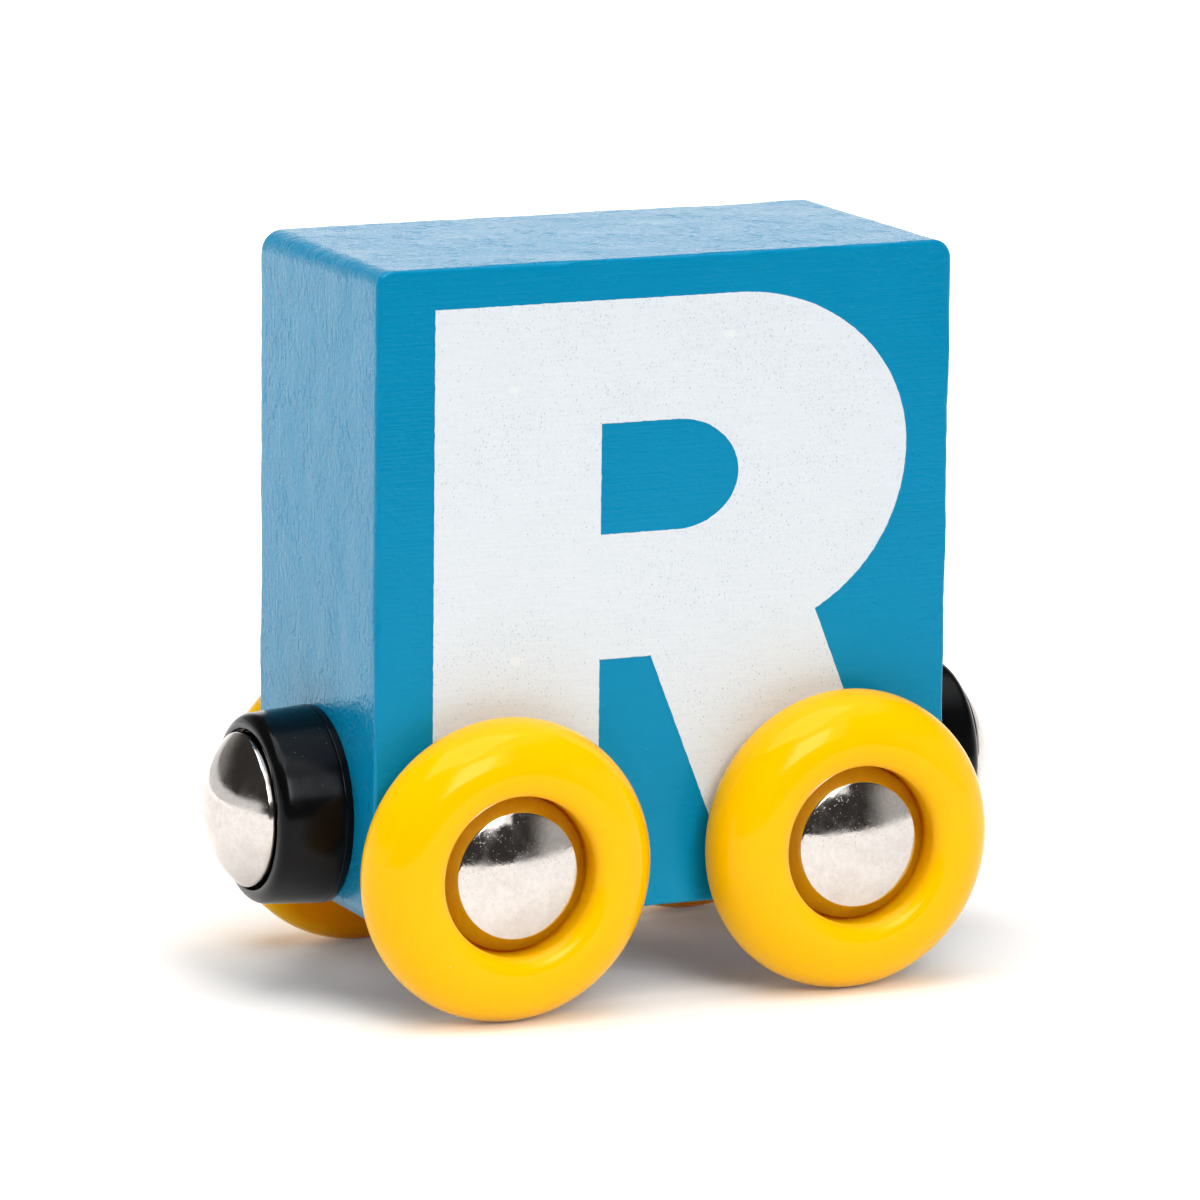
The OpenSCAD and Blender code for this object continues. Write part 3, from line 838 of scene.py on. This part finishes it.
tone = tint(tree, times(tree, plus(tree, grain, mottle), 0.5), WHITE_DARK, WHITE_LIGHT)
tone = tint(tree, times(tree, dabs, DAB_SHARE), tone, WHITE_DAB)
tone = tint(tree, times(tree, holes, HOLE_SHARE), tone, HOLE_TONE)
height = minus(tree, times(tree, grain, GRAIN_RISE), times(tree, holes, HOLE_DEPTH))
relief(tree, shader, height)
haze = between(tree, grain, 0.0, 1.0, 0.46, 0.56)
feed(tree, shader, Base_Color=tone, Roughness=haze, IOR=1.45)
dress(letters, white_print)

# %% [markdown]
# ## Yellow plastic
# The wheels are moulded in a dyed, glossy plastic that lets some light through. In the recess and
# on the inner side the colour is painted a deeper amber, as painted shade for the shade that falls
# there. The wheel's own painted-shade value marks those places. On the inner side, which no lamp
# reaches, and a little in the recess, light also comes through from under the surface, and red goes
# farther than green. The mould leaves a very slow waviness, and handling leaves a little haze and dust.

# %% Yellow plastic
YELLOW_DARK, YELLOW_LIGHT = (0.99, 0.525, 0.0), (1.0, 0.540, 0.0)
# The first colour is painted shade: the deeper amber of the shaded recess and inner side.
PAINTED_SHADE_TONE, YELLOW_DUST = (1.0, 0.47, 0.0), (0.95, 0.85, 0.55)
DUST_SHARE, DUST_HAZE, MOULD_RISE = 0.5, 0.3, 0.0004
LIGHT_REACH, REACH_SHARES = 9 * MM, (1.0, 0.40, 0.02)

yellow_plastic, tree, shader, place = new_finish("yellow_plastic")
slow = pattern(tree, drift_group, place, Pitch=5.0)
dust = pattern(tree, speck_group, place, Pitch=1.9, Size=0.035, Share=0.35)
painted_shade = add(tree, "Attribute", attribute_name="painted_shade").outputs["Fac"]
deep = add(tree, "Attribute", attribute_name="deep").outputs["Fac"]

tone = tint(tree, slow, YELLOW_DARK, YELLOW_LIGHT)
# Painted shade: a deeper amber in the recess and on the inner side, where shade falls.
tone = tint(tree, painted_shade, tone, PAINTED_SHADE_TONE)
tone = tint(tree, times(tree, dust, DUST_SHARE), tone, YELLOW_DUST)
relief(tree, shader, times(tree, slow, MOULD_RISE))
haze = between(tree, slow, 0.0, 1.0, 0.09, 0.12)
haze = plus(tree, haze, times(tree, dust, DUST_HAZE))
feed(tree, shader, Base_Color=tone, Roughness=haze, IOR=1.30,
     Specular_Tint=(1.0, 0.85, 0.48, 1.0), Subsurface_Weight=deep,
     Subsurface_Radius=REACH_SHARES, Subsurface_Scale=LIGHT_REACH)
dress(wheels, yellow_plastic)

# %% [markdown]
# ## Black plastic
# The coupling is moulded in black and polished by use. A dark gloss shows every grain of dust, so
# fine pale specks lie on it, and its sheen changes slowly from place to place.

# %% Black plastic
BLACK_DARK, BLACK_LIGHT = (0.0018, 0.0020, 0.0024), (0.0034, 0.0034, 0.0036)
BLACK_DUST, BLACK_DUST_SHARE = (0.30, 0.31, 0.33), 0.35
SLOW_SHARE, SCUFF_SHARE, BLACK_RISE = 0.6, 0.4, 0.004

black_plastic, tree, shader, place = new_finish("black_plastic")
slow = pattern(tree, drift_group, place, Pitch=3.0)
dust = pattern(tree, speck_group, place, Pitch=0.5, Size=0.085, Share=0.25)
scuffs = pattern(tree, streak_group, place, Length=0.10, Width=2.4)

tone = tint(tree, slow, BLACK_DARK, BLACK_LIGHT)
tone = tint(tree, times(tree, dust, BLACK_DUST_SHARE), tone, BLACK_DUST)
relief(tree, shader, times(tree, slow, BLACK_RISE))
wear = plus(tree, times(tree, slow, SLOW_SHARE), times(tree, scuffs, SCUFF_SHARE))
haze = between(tree, wear, 0.0, 1.0, 0.15, 0.21)
haze = plus(tree, haze, times(tree, dust, DUST_HAZE))
feed(tree, shader, Base_Color=tone, Roughness=haze, IOR=1.5, Specular_Tint=(0.22, 0.23, 0.25, 1.0))
dress(couplings, black_plastic)

# %% [markdown]
# ## Bright plate
# Hub caps and domes are pressed steel with a warm bright plating. It mirrors the room, so its
# colour is mostly light. Tumbling has left fine pits, and the press a slight waviness that makes
# the mirrored edges waver.

# %% Bright plate
PLATE_DARK, PLATE_LIGHT = (0.540, 0.492, 0.458), (0.640, 0.605, 0.580)
PIT_TONE, PIT_SHARE = (0.30, 0.27, 0.25), 0.40
PRESS_RISE, CLOUD_RISE, PIT_DEPTH = 0.003, 0.0012, 0.0025

bright_plate, tree, shader, place = new_finish("bright_plate")
slow = pattern(tree, drift_group, place, Pitch=2.2)
pits = pattern(tree, speck_group, place, Pitch=0.18, Size=0.30, Share=0.40)
cloud = pattern(tree, drift_group, place, Pitch=0.4)
smudge = pattern(tree, drift_group, place, Pitch=1.7)

tone = tint(tree, times(tree, plus(tree, cloud, smudge), 0.5), PLATE_DARK, PLATE_LIGHT)
tone = tint(tree, times(tree, pits, PIT_SHARE), tone, PIT_TONE)
height = plus(tree, times(tree, slow, PRESS_RISE), times(tree, cloud, CLOUD_RISE))
relief(tree, shader, minus(tree, height, times(tree, pits, PIT_DEPTH)))
haze = between(tree, smudge, 0.2, 0.9, 0.07, 0.16)
feed(tree, shader, Base_Color=tone, Metallic=1.0, Roughness=haze)
dress(caps + domes, bright_plate)

# %% [markdown]
# ## The pieces inside
# Axles, their grips, the screws and the magnets keep their construction shapes, since hardly any
# of them shows. Each still gets its own metal: drawn wire with fine rings, grips and screws
# with a duller plate, and a dark sintered magnet with a grain of its own.

# %% Drawn steel and magnet
INNER_PIT_SHARE, RING_RISE, INNER_PIT_DEPTH, RING_HAZE = 0.4, 0.003, 0.004, 0.15


def dull_metal(name, dark, light, rough, pitch, metal):
    """A metal between two tones, with fine rings along its length and small pits."""
    finish, tree, shader, place = new_finish(name)
    rings = pattern(tree, streak_group, place, Length=pitch, Width=pitch * 8)
    pits = pattern(tree, speck_group, place, Pitch=0.4, Size=0.25, Share=0.4)
    tone = tint(tree, rings, dark, light)
    tone = tint(tree, times(tree, pits, INNER_PIT_SHARE), tone, dark)
    height = minus(tree, times(tree, rings, RING_RISE), times(tree, pits, INNER_PIT_DEPTH))
    relief(tree, shader, height)
    haze = between(tree, rings, 0.0, 1.0, rough, rough + RING_HAZE)
    feed(tree, shader, Base_Color=tone, Metallic=metal, Roughness=haze)
    return finish


WIRE, GRIP = ((0.42, 0.41, 0.40), (0.62, 0.61, 0.60)), ((0.36, 0.34, 0.31), (0.52, 0.50, 0.46))
ZINC = (0.50, 0.49, 0.46), (0.68, 0.67, 0.63)
SINTER = (0.030, 0.030, 0.032), (0.060, 0.058, 0.058)
inner_finish = {
    "axle": dull_metal("drawn_steel", *WIRE, rough=0.22, pitch=0.15, metal=1.0),
    "grip": dull_metal("dull_plate", *GRIP, rough=0.35, pitch=0.30, metal=1.0),
    "screw": dull_metal("zinc_plate", *ZINC, rough=0.28, pitch=0.25, metal=1.0),
    "magnet": dull_metal("sintered_magnet", *SINTER, rough=0.55, pitch=0.20, metal=0.2),
}
for name, node in frame["nodes"].items():
    finish = inner_finish.get(name.split("_")[0])
    if finish and not node.hide_render:
        node.data.materials.clear()
        node.data.materials.append(finish)
        print(name, "gets", finish.name)

# %% [markdown]
# ## The table and the light
# The car stands on a white table in a studio: a large soft light above, a softbox over the camera
# with a bright heart, a weaker fill from the back left, a white wall behind, a pale ceiling on the
# right, and a dark room on the camera's side. That dark room is what keeps the front deep blue and
# gives the metal its contrast. The table ends a little in front of the car, so that the hub caps
# show its edge. Outside the car's footprint the table and the background are plain white.

# %% Table
TABLE_FRONT, TABLE_REACH = -0.205, 2.2
FOOTPRINT = (31.0, 19.0, 1.0)
# SHADOW_GLOW is painted light: a warm glow of the table itself where the car's shadow falls.
SHADOW_GLOW, RIM_GLOW = (0.100, 0.056, 0.038), (0.085, 0.078, 0.075)
TABLE_GLOW, FAR_GLOW = (0.40, 0.40, 0.40), (0.90, 0.90, 0.90)
TABLE_DARK, TABLE_LIGHT = (0.935, 0.920, 0.905), (0.945, 0.930, 0.915)

edge_x, edge_y = np.meshgrid((-TABLE_REACH, TABLE_REACH), (TABLE_FRONT, TABLE_REACH))
corners = np.stack([edge_x, edge_y, np.zeros((2, 2))], -1).reshape(-1, 3)
mesh = bpy.data.meshes.new("table")
mesh.from_pydata(corners.tolist(), [], [(0, 1, 3, 2)])
table = bpy.data.objects.new("table", mesh)
bpy.context.scene.collection.objects.link(table)
table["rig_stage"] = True

white_table, tree, shader, place = new_finish("white_table")
seen = add(tree, "LightPath").outputs
direct = math_of(tree, "MAXIMUM", seen["Is Glossy Ray"], seen["Is Transmission Ray"])
direct = math_of(tree, "MAXIMUM", seen["Is Camera Ray"], direct)
tone = tint(tree, pattern(tree, drift_group, place, Pitch=40.0), TABLE_DARK, TABLE_LIGHT)
footprint = add(tree, "VectorMath", {0: place, 1: FOOTPRINT}, operation="DIVIDE").outputs[0]
reach = add(tree, "VectorMath", {0: footprint}, operation="LENGTH").outputs["Value"]
# Painted light: under the car the table glows warm, which tints its shadow, then fades to neutral and
# to white outside the footprint.
glow = tint(tree, between(tree, reach, 0.5, 0.9), SHADOW_GLOW, RIM_GLOW)
glow = tint(tree, between(tree, reach, 0.9, 1.8), glow, TABLE_GLOW)
glow = tint(tree, between(tree, reach, 5.0, 25.0), glow, FAR_GLOW)
feed(tree, shader, Base_Color=tone, Roughness=0.9, Specular_IOR_Level=0.1,
     Emission_Color=glow, Emission_Strength=direct)
table.data.materials.append(white_table)
print("table front at", TABLE_FRONT, "m")


# %% Lamps
def softbox(name, azimuth, elevation, distance, width, height, glow):
    """A rectangular lamp at a direction and distance from the car, which faces the car. Its power
    is pi times its area times its glow, where a glow of 1 looks as bright as white paper."""
    lamp = bpy.data.lights.new(name, "AREA")
    lamp.shape, lamp.size, lamp.size_y = "RECTANGLE", width, height
    lamp.energy = math.pi * width * height * glow
    stand = bpy.data.objects.new(name, lamp)
    bpy.context.scene.collection.objects.link(stand)
    way = toward(math.radians(azimuth), math.radians(elevation))
    stand.location = AIM + way * distance
    stand.rotation_mode = "QUATERNION"
    stand.rotation_quaternion = way.to_track_quat("Z", "Y")
    stand.visible_camera = False
    return stand


softbox("softbox_front", 2, 42, distance=0.90, width=0.526, height=0.745, glow=1.45)
softbox("softbox_heart", 0, 32, distance=0.88, width=0.31, height=0.38, glow=7.6)
softbox("softbox_top", -40, 78, distance=0.83, width=0.70, height=0.66, glow=3.5)
fill = softbox("fill_left", -125, 28, distance=0.90, width=0.60, height=0.60, glow=2.6)
fill.visible_glossy = False

# %% Room
DARK_ROOM, BACK_WALL, RIGHT_WALL = (0.050, 0.047, 0.044), (0.34, 0.33, 0.32), (0.60, 0.59, 0.58)
WHITE, BRIGHT_WALL, CEILING = (1.0, 1.0, 1.0), (1.34, 1.34, 1.34), (1.0, 1.0, 1.0)

room = bpy.data.worlds.new("room")
bpy.context.scene.world = room
room.use_nodes = True
tree = room.node_tree
way = add(tree, "SeparateXYZ", {0: add(tree, "TexCoord").outputs["Generated"]}).outputs
behind = times(tree, between(tree, way["Y"], 0.5, 0.95), between(tree, way["Z"], 0.55, 0.22))
far_right = times(tree, between(tree, way["X"], 0.45, 0.75), between(tree, way["Z"], 0.45, 0.25))
low = times(tree, between(tree, way["Y"], -0.45, -0.25), between(tree, way["Z"], 0.20, 0.12))
sweep = times(tree, between(tree, way["Y"], 0.55, 0.85), between(tree, way["X"], -0.1, 0.3))
sweep = times(tree, sweep, between(tree, way["Z"], 0.37, 0.25))
above = times(tree, between(tree, way["Z"], 0.72, 0.84), between(tree, way["X"], 0.10, 0.30))
shade = tint(tree, behind, DARK_ROOM, BACK_WALL)
shade = tint(tree, far_right, shade, RIGHT_WALL)
shade = tint(tree, low, shade, WHITE)
shade = tint(tree, sweep, shade, BRIGHT_WALL)
shade = tint(tree, above, shade, CEILING)
sight = add(tree, "LightPath").outputs["Is Camera Ray"]
tree.links.new(tint(tree, sight, shade, WHITE), tree.nodes["Background"].inputs["Color"])
bpy.context.scene.view_settings.view_transform = "Standard"
print("room ready, lamps:", [lamp.name for lamp in bpy.data.lights])

# %% [markdown]
# ## The sizes
# The dressed car's box and the construction model's box are both printed, side by side for
# comparison.

# %% Write the sizes
visual_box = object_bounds()
boxes = {"cad": [list(corner) for corner in cad_box], "visual": [list(corner) for corner in visual_box]}
for name, box in boxes.items():
    print(name, np.round(np.array(box) / MM, 2).tolist())
